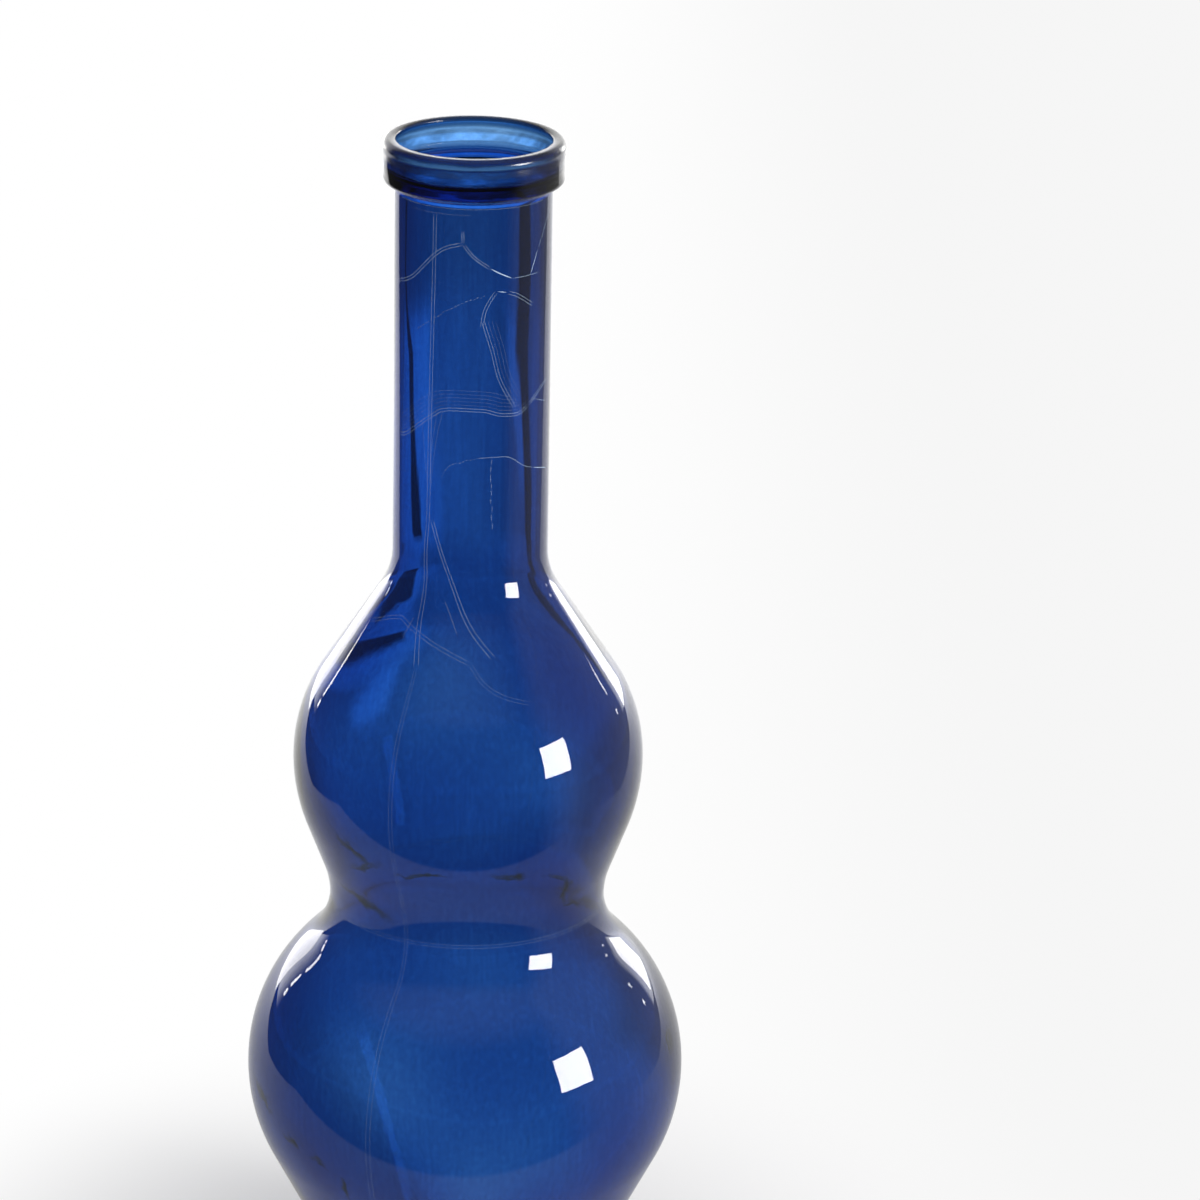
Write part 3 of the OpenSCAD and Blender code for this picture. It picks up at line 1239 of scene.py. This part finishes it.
    def material(self) -> bpy.types.Material:
        """Makes the material.

        Returns:
            The material.
        """
        material = bpy.data.materials.new("blown_blue_glass")
        material.use_nodes = True
        sheet = Sheet(material.node_tree)
        place = sheet.node("TexCoord").outputs["Object"]
        x, y, height = sheet.node("SeparateXYZ", {0: place}).outputs
        flat = sheet.node("CombineXYZ", {0: x, 1: y}).outputs[0]
        reach = sheet.node("VectorMath", {0: flat}, operation="LENGTH").outputs["Value"]
        pebbles = sheet.product(sheet.noise(place, self.pebble_grain).outputs[0], 1 - self.streak_share)
        streaks = sheet.noise(place, self.streak_grain).outputs[0]
        rise = sheet.math("MULTIPLY_ADD", streaks, self.streak_share, pebbles)
        bump = sheet.node("Bump", {"Height": rise, "Strength": self.ripple, "Distance": self.ripple_depth})
        above = sheet.math("SUBTRACT", height, sheet.fade(reach, self.lip_start))
        on_lip = sheet.fade(above, self.lip_edge)
        in_mouth = sheet.product(sheet.fade(height, self.mouth_rise), sheet.fade(reach, self.mouth_within))
        on_collar = sheet.product(
            sheet.fade(height, self.collar_rise),
            sheet.fade(reach, self.collar_beyond),
            sheet.fade(y, self.collar_front),
        )
        rough = sheet.mix(in_mouth, self.gloss, self.mouth_gloss)
        clear = self.skin(sheet, place, rise, in_mouth, on_collar)
        # The lip's brown tint is painted shade that darkens the light through the rim.
        body = sheet.node("BsdfPrincipled", {
            "Base Color": sheet.blend(on_lip, clear, (*self.lip_shade_tint, 1)),
            "Roughness": sheet.mix(on_lip, rough, self.lip_gloss),
            "IOR": self.ior,
            "Transmission Weight": 1.0,
            "Normal": bump.outputs[0],
        })
        depth = sheet.node("VolumeAbsorption", {"Color": (*self.tint, 1), "Density": self.depth})
        sheet.node("OutputMaterial", {"Surface": body.outputs[0], "Volume": depth.outputs[0]})
        return material


@dataclass(frozen=True)
class PaintedGlintThread:
    """Painted glint of a fine thread of glass that stands on the skin: its pale, part-clear colour stands in
    for the light that the thread catches.

    Attributes:
        strength: How plainly it shows.
        colour: Pale colour that paints the thread's glint: painted highlight, not a colour of the glass.
        gloss: Its roughness.
        ior: Index of refraction.
    """

    strength: Strength
    colour: tuple[float, float, float] = (0.50, 0.68, 0.92)
    gloss: float = 0.3
    ior: float = 1.5

    def material(self) -> bpy.types.Material:
        """Makes the material, or finds it where it is made already.

        Returns:
            The material.
        """
        name = "thread_" + self.strength.name.lower()
        if name in bpy.data.materials:
            return bpy.data.materials[name]
        material = bpy.data.materials.new(name)
        material.use_nodes = True
        sheet = Sheet(material.node_tree)
        # Pale base colour on a part-clear skin: painted glint of the thread.
        body = sheet.node("BsdfPrincipled", {
            "Base Color": (*self.colour, 1),
            "Roughness": self.gloss,
            "IOR": self.ior,
            "Alpha": self.strength.value,
        })
        sheet.node("OutputMaterial", {"Surface": body.outputs[0]})
        return material


@dataclass(frozen=True)
class FloorLight:
    """Light of the floor seen through the glass: open floor, a lit window and unlit lanes.

    Distances are from the vase, in metres. Directions are in degrees from straight behind it.

    Attributes:
        foot: Level of the open floor, with the light that the vase gathers close to it.
        far_dip: What the floor loses far behind.
        far_glow: What it gains further still.
        ring: Distance of a faint dark ring.
        ring_share: What the ring adds.
        stretch_from: Where the stretch that shows in the neck starts.
        stretch_till: Where it ends.
        stretch_left: What it gains to the left.
        stretch_right: What it loses just right of the middle.
        stretch_outer: What it gains far right.
        streak: Direction to the left of a bright streak.
        streak_far: Its distance.
        streak_share: What it adds.
        window_start: Direction to the left where the lit window starts.
        window_end: Direction where it ends.
        window_widest: Direction that it never passes.
        window_inner: How it starts.
        window_outer: How it ends.
        window_from: Distance at which it starts.
        window_till: Distance at which it ends.
        window_share: What it adds.
        left_lane: Direction to the left of the left unlit lane.
        left_bend: What its bend adds far behind.
        left_width: Its width.
        left_from: Distance at which it starts.
        right_lane: Direction to the right of the right unlit lane.
        right_width: Its width.
        right_from: Distance at which it starts.
        lane_depth: Share of light that a lane lacks.
        edge_aside: How far inside the right lane a bright edge lies.
        edge_width: Its width.
        edge_from: Distance at which it starts.
        edge_share: What it adds.
        right_bound: Direction to the right where the floor starts to dim, by distance.
        right_bound_far: What it gains further behind.
        right_dim: What is lost beyond it.
        right_dim_from: Distance at which that starts.
        left_dim: What is lost to the left.
        left_dim_till: Distance at which that ends.
        dim_turn: Direction to either side at which both end.
    """

    foot: Fade = Fade(0.25, 0.6, 1.05, 1.0)
    far_dip: Fade = Fade(1.9, 2.4, 0.0, -0.3)
    far_glow: Fade = Fade(2.55, 2.95, 0.0, 2.0)
    ring: Band = Band(0.05, 0.12, 0.66)
    ring_share: float = -0.18
    stretch_from: Fade = Fade(1.3, 1.45)
    stretch_till: Fade = Fade(2.05, 2.2, 1.0, 0.0)
    stretch_left: Fade = Fade(1.5, 3.0, 0.0, 0.15)
    stretch_right: Fade = Fade(0.0, 1.2, 0.0, -0.22)
    stretch_outer: Fade = Fade(8.5, 9.5, 0.0, 0.35)
    streak: Band = Band(0.3, 1.5, 8.2)
    streak_far: Band = Band(0.06, 0.18, 1.12)
    streak_share: float = 0.95
    window_start: Course = Course(-8.0, 14.9, till=1.35)
    window_end: Course = Course(60.0, -62.5, since=1.2)
    window_widest: float = 24.0
    window_inner: Fade = Fade(0.0, 3.0)
    window_outer: Fade = Fade(0.0, 2.5)
    window_from: Fade = Fade(1.15, 1.35)
    window_till: Fade = Fade(2.05, 2.25, 1.0, 0.0)
    window_share: float = 0.95
    left_lane: Course = Course(8.75, -3.25, till=1.8)
    left_bend: Course = Course(22.0, -44.0, since=2.0, till=2.3)
    left_width: Band = Band(1.4, 2.3)
    left_from: Fade = Fade(1.33, 1.39)
    right_lane: Course = Course(-5.5, 16.2, till=2.0)
    right_width: Band = Band(1.2, 2.0)
    right_from: Fade = Fade(1.2, 1.35)
    lane_depth: float = 0.94
    edge_aside: float = 2.5
    edge_width: Band = Band(0.5, 1.2)
    edge_from: Fade = Fade(1.5, 1.7)
    edge_share: float = 0.6
    right_bound: Fade = Fade(0.45, 0.75, 11.0, 3.5)
    right_bound_far: Fade = Fade(0.95, 1.3, 0.0, 8.5)
    right_dim: Fade = Fade(0.0, 6.0, 0.0, 0.5)
    right_dim_from: Fade = Fade(0.33, 0.45)
    left_dim: Fade = Fade(13.0, 22.0, 0.0, 0.35)
    left_dim_till: Fade = Fade(0.9, 1.1, 1.0, 0.0)
    dim_turn: Fade = Fade(60.0, 80.0, 1.0, 0.0)

    def window(self, sheet: Sheet, left: Socket, far: Socket) -> Socket:
        """Adds the lit window.

        Args:
            sheet: The node tree.
            left: Direction to the left.
            far: Distance from the vase.

        Returns:
            What the window adds to the level.
        """
        past_start = sheet.math("SUBTRACT", left, sheet.course(far, self.window_start))
        end = sheet.math("MINIMUM", sheet.course(far, self.window_end), self.window_widest)
        return sheet.product(
            sheet.fade(past_start, self.window_inner),
            sheet.fade(sheet.math("SUBTRACT", end, left), self.window_outer),
            sheet.fade(far, self.window_from),
            sheet.fade(far, self.window_till),
            self.window_share,
        )

    def stretch(self, sheet: Sheet, left: Socket, right: Socket, lane: Socket, far: Socket) -> Socket:
        """Adds the stretch that shows in the neck.

        Args:
            sheet: The node tree.
            left: Direction to the left.
            right: Direction to the right.
            lane: Direction of the right lane.
            far: Distance from the vase.

        Returns:
            What the stretch adds to the level.
        """
        edge = sheet.bell(right, self.edge_width, sheet.math("SUBTRACT", lane, self.edge_aside))
        sides = sheet.total(
            sheet.fade(left, self.stretch_left),
            sheet.fade(right, self.stretch_right),
            sheet.fade(right, self.stretch_outer),
            sheet.product(edge, sheet.fade(far, self.edge_from), self.edge_share),
        )
        return sheet.product(sheet.fade(far, self.stretch_from), sheet.fade(far, self.stretch_till), sides)

    def lanes(self, sheet: Sheet, left: Socket, right: Socket, lane: Socket, far: Socket) -> Socket:
        """Adds the two unlit lanes.

        Args:
            sheet: The node tree.
            left: Direction to the left.
            right: Direction to the right.
            lane: Direction of the right lane.
            far: Distance from the vase.

        Returns:
            The share of light that is left.
        """
        left_lane = sheet.total(sheet.course(far, self.left_lane), sheet.course(far, self.left_bend))
        on_left = sheet.product(sheet.bell(left, self.left_width, left_lane), sheet.fade(far, self.left_from))
        on_right = sheet.product(sheet.bell(right, self.right_width, lane), sheet.fade(far, self.right_from))
        return sheet.math("MULTIPLY_ADD", sheet.math("MAXIMUM", on_left, on_right), -self.lane_depth, 1.0)

    def sides(self, sheet: Sheet, left: Socket, right: Socket, far: Socket) -> Socket:
        """Adds the dimmer floor to both sides.

        Args:
            sheet: The node tree.
            left: Direction to the left.
            right: Direction to the right.
            far: Distance from the vase.

        Returns:
            The share of light that is left.
        """
        bound = sheet.total(sheet.fade(far, self.right_bound), sheet.fade(far, self.right_bound_far))
        beyond = sheet.math("SUBTRACT", right, bound)
        lost = sheet.total(
            sheet.product(sheet.fade(beyond, self.right_dim), sheet.fade(far, self.right_dim_from)),
            sheet.product(sheet.fade(left, self.left_dim), sheet.fade(far, self.left_dim_till)),
        )
        lost = sheet.product(lost, sheet.fade(sheet.math("ABSOLUTE", right), self.dim_turn))
        return sheet.math("SUBTRACT", 1.0, lost)

    def level(self, sheet: Sheet, x: Socket, y: Socket, far: Socket) -> Socket:
        """Adds the light of the floor.

        Args:
            sheet: The node tree.
            x: Place to the right.
            y: Place to the back.
            far: Distance from the vase.

        Returns:
            The level.
        """
        right = sheet.math("DEGREES", sheet.math("ARCTAN2", x, y))
        left = sheet.product(right, -1.0)
        lane = sheet.course(far, self.right_lane)
        lit = sheet.total(
            sheet.fade(far, self.foot),
            sheet.fade(far, self.far_dip),
            sheet.fade(far, self.far_glow),
            sheet.product(sheet.bell(far, self.ring), self.ring_share),
            sheet.product(sheet.bell(left, self.streak), sheet.bell(far, self.streak_far), self.streak_share),
            self.window(sheet, left, far),
            self.stretch(sheet, left, right, lane, far),
        )
        kept = sheet.product(self.lanes(sheet, left, right, lane, far), self.sides(sheet, left, right, far))
        return sheet.product(lit, kept)


@dataclass(frozen=True)
class TableLight:
    """The lit table as the glass mirrors it.

    Attributes:
        front: How far in front of the vase its front edge lies.
        bow: How much that edge bends back to the sides.
        front_edge: How soft it is.
        side: Half width of the table beside the vase.
        side_each: How much the half width grows for each metre to the back.
        side_least: Least half width.
        side_edge: How soft the edges at the sides are.
        glow: Level beside the vase.
        glow_each: How much the level grows for each metre to the back.
        glow_least: Least level.
        glow_most: Greatest level.
    """

    front: float = 0.30
    bow: float = 0.37
    front_edge: Fade = Fade(-0.01, 0.02)
    side: float = 0.55
    side_each: float = 0.7
    side_least: float = 0.85
    side_edge: Fade = Fade(-0.03, 0.03)
    glow: float = 0.45
    glow_each: float = 0.55
    glow_least: float = 0.42
    glow_most: float = 2.2

    def share(self, sheet: Sheet, x: Socket, y: Socket) -> Socket:
        """Adds the form of the table.

        Args:
            sheet: The node tree.
            x: Place to the right.
            y: Place to the back.

        Returns:
            1 on the table and 0 beside it.
        """
        inside = sheet.total(y, sheet.math("MULTIPLY_ADD", sheet.product(x, x), -self.bow, self.front))
        side = sheet.math("MULTIPLY_ADD", y, self.side_each, self.side)
        side = sheet.math("MAXIMUM", side, self.side_least)
        within = sheet.math("SUBTRACT", side, sheet.math("ABSOLUTE", x))
        return sheet.product(sheet.fade(inside, self.front_edge), sheet.fade(within, self.side_edge))

    def level(self, sheet: Sheet, y: Socket) -> Socket:
        """Adds the light of the table, by the place to the back."""
        glow = sheet.math("MULTIPLY_ADD", y, self.glow_each, self.glow)
        return sheet.math("MINIMUM", sheet.math("MAXIMUM", glow, self.glow_least), self.glow_most)


@dataclass(frozen=True)
class Panel:
    """A soft panel that faces the vase and isn't seen by the camera.

    Attributes:
        name: Name of the panel.
        turn: Azimuth of its middle in degrees; 0 is towards the viewer, 90 to the right.
        rise: Height of its middle over the aim, in degrees.
        far: Distance from the aim.
        size: Width and height.
        level: Its light in reflections and on the floor.
        through: Its light seen through the glass.
        slit: Share of its width that shows through the glass.
        slit_flat: Share of that which is evenly lit.
        colour: Colour of its light.
    """

    name: str
    turn: float
    rise: float
    far: float
    size: tuple[float, float]
    level: float
    through: float
    slit: float = 1.0
    slit_flat: float = 0.8
    colour: tuple[float, float, float] = (1, 0.985, 0.96)

    def material(self) -> bpy.types.Material:
        """Makes its material, which shines to the front only.

        Returns:
            The material.
        """
        material = bpy.data.materials.new(self.name)
        material.use_nodes = True
        sheet = Sheet(material.node_tree)
        facing = sheet.math("SUBTRACT", 1.0, sheet.node("NewGeometry").outputs["Backfacing"])
        across = sheet.node("SeparateXYZ", {0: sheet.node("TexCoord").outputs["Object"]}).outputs[0]
        shown = self.size[0] / 2 * self.slit
        beyond = 0.0 if self.slit < 1 else self.through
        slit = Fade(shown * self.slit_flat, shown, self.through, beyond)
        inner = sheet.fade(sheet.math("ABSOLUTE", across), slit)
        seen = sheet.mix(sheet.node("LightPath").outputs["Is Transmission Ray"], self.level, inner)
        light = sheet.node("Emission", {"Color": (*self.colour, 1), "Strength": sheet.product(seen, facing)})
        sheet.node("OutputMaterial", {"Surface": light.outputs[0]})
        return material

    def hang(self, aim: Vector) -> None:
        """Hangs the panel.

        Args:
            aim: Where it faces.
        """
        turn, rise = math.radians(self.turn), math.radians(self.rise)
        way = Vector((math.sin(turn) * math.cos(rise), -math.cos(turn) * math.cos(rise), math.sin(rise)))
        w, h = self.size[0] / 2, self.size[1] / 2
        mesh = bpy.data.meshes.new(self.name)
        mesh.from_pydata([(-w, -h, 0), (w, -h, 0), (w, h, 0), (-w, h, 0)], [], [(0, 1, 2, 3)])
        mesh.materials.append(self.material())
        panel = bpy.data.objects.new(self.name, mesh)
        bpy.context.scene.collection.objects.link(panel)
        turned = way.to_track_quat("-Z", "Y").to_matrix().to_4x4()
        panel.matrix_world = Matrix.Translation(aim + way * self.far) @ turned
        panel.visible_camera = False
        panel.visible_shadow = False


def panels() -> list[Panel]:
    """Gives the key panel, the two behind the vase and the narrow strips at its sides.

    Returns:
        The panels.
    """
    hung = [
        Panel("key_panel", 61.5, 10.5, 3.2, (1.1, 1.1), 23.0, 8.0, 0.42),
        Panel("rear_right_panel", 144.5, 9.5, 3.0, (0.68, 1.3), 8.0, 2.5),
        Panel("rear_left_panel", -155, 2.0, 3.0, (1.7, 1.2), 5.0, 1.5),
    ]
    for k, (rise, tall) in enumerate(((2.0, 0.14), (8.0, 0.3), (15.0, 0.16), (19.5, 0.08))):
        hung.append(Panel(f"left_strip_{k}", -128.6, rise, 3.0, (0.09, tall), 9.0, 2.0))
    for k, (rise, tall) in enumerate(((3.0, 0.1), (12.0, 0.12))):
        hung.append(Panel(f"right_strip_{k}", 126.5, rise, 3.0, (0.07, tall), 9.0, 2.0))
    return hung


@dataclass
class Studio:
    """Pale floor, white surroundings and soft panels, seen by the glass as a product studio.

    Attributes:
        ambient: Level of the surroundings as the floor's own light.
        rear_right: Where the lit rear starts to the right in a reflection, in degrees.
        rear_left: Where it starts to the left, in degrees.
        rear: Its level in a reflection, by height.
        ceiling: Level of the ceiling in a reflection, by height.
        veil: Level of the unlit room in a reflection, from its front to its right side in degrees.
        through: Level of the surroundings seen through the glass, by height.
        backdrop: Level behind the vase for the camera, from left to right.
        floor_white: Level of the floor for the camera, from left to right.
        floor_fade: Where the floor fades from its shadow to plain white, by distance.
        floor_colour: Colour of the part that takes the shadow.
        floor_r: Radius of the floor.
        floor_sides: How many sides it has.
        floor_drop: How far it lies below the resting ring.
        behind: Light of the floor seen through the glass.
        table: Light of the table in a reflection.
        aim: Where the panels face.
    """

    ambient: float = 0.75
    rear_right: Fade = Fade(134, 138)
    rear_left: Fade = Fade(128, 142)
    rear: Fade = Fade(0.05, 0.7, 2.6, 0.3)
    ceiling: Fade = Fade(0.5, 0.9, 0.0, 0.3)
    veil: Fade = Fade(45, 75, 0.07, 0.42)
    through: Fade = Fade(-0.02, 0.6, 1.6, 0.9)
    backdrop: Fade = Fade(0.0, 0.12, 1.0, 0.92)
    floor_white: Fade = Fade(-0.05, 0.45, 1.0, 0.92)
    floor_fade: Fade = Fade(0.16, 0.42)
    floor_colour: tuple[float, float, float] = (0.86, 0.86, 0.87)
    floor_r: float = 9.0
    floor_sides: int = 96
    floor_drop: float = 0.4 * MM
    behind: FloorLight = FloorLight()
    table: TableLight = TableLight()
    aim: Vector = field(default_factory=lambda: Vector((0, 0, 0.36)))

    def surroundings(self) -> None:
        """Sets the world: white behind the vase for the camera, dark in front for reflections."""
        world = bpy.data.worlds.new("studio")
        bpy.context.scene.world = world
        world.use_nodes = True
        sheet = Sheet(world.node_tree)
        x, y, z = sheet.node("SeparateXYZ", {0: sheet.node("TexCoord").outputs["Generated"]}).outputs
        turn = sheet.turn(x, y)
        right = sheet.fade(turn, self.rear_right)
        left = sheet.fade(sheet.product(turn, -1.0), self.rear_left)
        rear = sheet.math("MAXIMUM", right, left)
        sides = sheet.mix(rear, sheet.fade(turn, self.veil), sheet.fade(z, self.rear))
        mirrored = sheet.math("MAXIMUM", sides, sheet.fade(z, self.ceiling))
        path = sheet.node("LightPath").outputs
        level = sheet.mix(path["Is Glossy Ray"], self.ambient, mirrored)
        level = sheet.mix(path["Is Transmission Ray"], level, sheet.fade(z, self.through))
        level = sheet.mix(path["Is Camera Ray"], level, sheet.fade(x, self.backdrop))
        background = sheet.node("Background", {"Color": (1, 1, 1, 1), "Strength": level})
        sheet.node("OutputWorld", {"Surface": background.outputs[0]})

    def floor_material(self) -> bpy.types.Material:
        """Makes the floor's material, white away from the vase and shaded close to it.

        Returns:
            The material.
        """
        material = bpy.data.materials.new("floor")
        material.use_nodes = True
        sheet = Sheet(material.node_tree)
        x, y, _ = sheet.node("SeparateXYZ", {0: sheet.node("NewGeometry").outputs["Position"]}).outputs
        far = sheet.math("SQRT", sheet.total(sheet.product(x, x), sheet.product(y, y)))
        unlit = sheet.fade(sheet.turn(x, y), self.veil)
        mirrored = sheet.mix(self.table.share(sheet, x, y), unlit, self.table.level(sheet, y))
        path = sheet.node("LightPath").outputs
        level = sheet.mix(path["Is Glossy Ray"], sheet.fade(x, self.floor_white), mirrored)
        level = sheet.mix(path["Is Transmission Ray"], level, self.behind.level(sheet, x, y, far))
        glare = sheet.node("Emission", {"Color": (1, 1, 1, 1), "Strength": level})
        matt = sheet.node("BsdfDiffuse", {"Color": (*self.floor_colour, 1)})
        share = sheet.math("MAXIMUM", sheet.fade(far, self.floor_fade), path["Is Glossy Ray"])
        share = sheet.math("MAXIMUM", share, path["Is Transmission Ray"])
        both = sheet.node("MixShader", {0: share, 1: matt.outputs[0], 2: glare.outputs[0]})
        sheet.node("OutputMaterial", {"Surface": both.outputs[0]})
        return material

    def floor(self) -> None:
        """Lays the pale floor, which fades to white away from the vase but keeps its shadow."""
        bpy.ops.mesh.primitive_circle_add(
            vertices=self.floor_sides,
            radius=self.floor_r,
            fill_type="NGON",
            location=(0, 0, -self.floor_drop),
        )
        floor = bpy.context.active_object
        floor.name = "floor"
        floor.data.materials.append(self.floor_material())

    def build(self) -> None:
        """Makes the surroundings, the floor and the panels."""
        self.surroundings()
        self.floor()
        for panel in panels():
            panel.hang(self.aim)


@dataclass(frozen=True)
class Viewpoint:
    """Camera that stands where the photograph was taken.

    Attributes:
        place: Where the lens is.
        down: How far it looks down, in degrees.
        roll: How far it is turned about its own line of sight, in degrees.
        lens: Focal length in mm on the sensor's width.
        sensor: Sensor width in mm.
        clip: Nearest and farthest distance that it sees.
    """

    place: tuple[float, float, float] = (0.0781, -2.9300, 1.5375)
    down: float = 20.1
    roll: float = 1.10
    lens: float = 156.0
    sensor: float = 36.0
    clip: tuple[float, float] = (0.05, 60.0)

    def build(self) -> None:
        """Makes the camera and gives it to the scene."""
        data = bpy.data.cameras.new("viewpoint")
        data.lens = self.lens
        data.sensor_width = self.sensor
        data.clip_start, data.clip_end = self.clip
        camera = bpy.data.objects.new("viewpoint", data)
        bpy.context.scene.collection.objects.link(camera)
        tip, roll = math.radians(self.down), math.radians(self.roll)
        across, up = Vector((1, 0, 0)), Vector((0, math.sin(tip), math.cos(tip)))
        back = Vector((0, -math.cos(tip), math.sin(tip)))
        right = across * math.cos(roll) + up * math.sin(roll)
        top = up * math.cos(roll) - across * math.sin(roll)
        turned = Matrix((right, top, back)).transposed().to_4x4()
        camera.matrix_world = Matrix.Translation(self.place) @ turned
        bpy.context.scene.camera = camera


def main() -> None:
    """Builds the camera, the studio and the glass."""
    logging.basicConfig(level=logging.INFO, format="%(name)s: %(message)s")
    scene = bpy.context.scene
    scene.view_settings.view_transform = "Standard"
    Viewpoint().build()
    Studio().build()
    glass = BlownGlass()
    lines = FineLines(glass)
    # The line pieces are pale threads whose colour paints the glints that the lap lines, cords, seams and
    # ring catch.
    pieces = (
        glass.build(BlueGlass()),
        lines.build("lap_lines", lap_lines()),
        lines.build("flow_cords", flow_cords()),
        lines.build("mould_seams", lines.seams()),
        lines.build("mould_ring", lines.ring()),
    )
    for piece in pieces:
        LOG.info("%s: %d vertices, %d faces", piece.name, len(piece.data.vertices), len(piece.data.polygons))


if __name__ == "__main__":
    main()
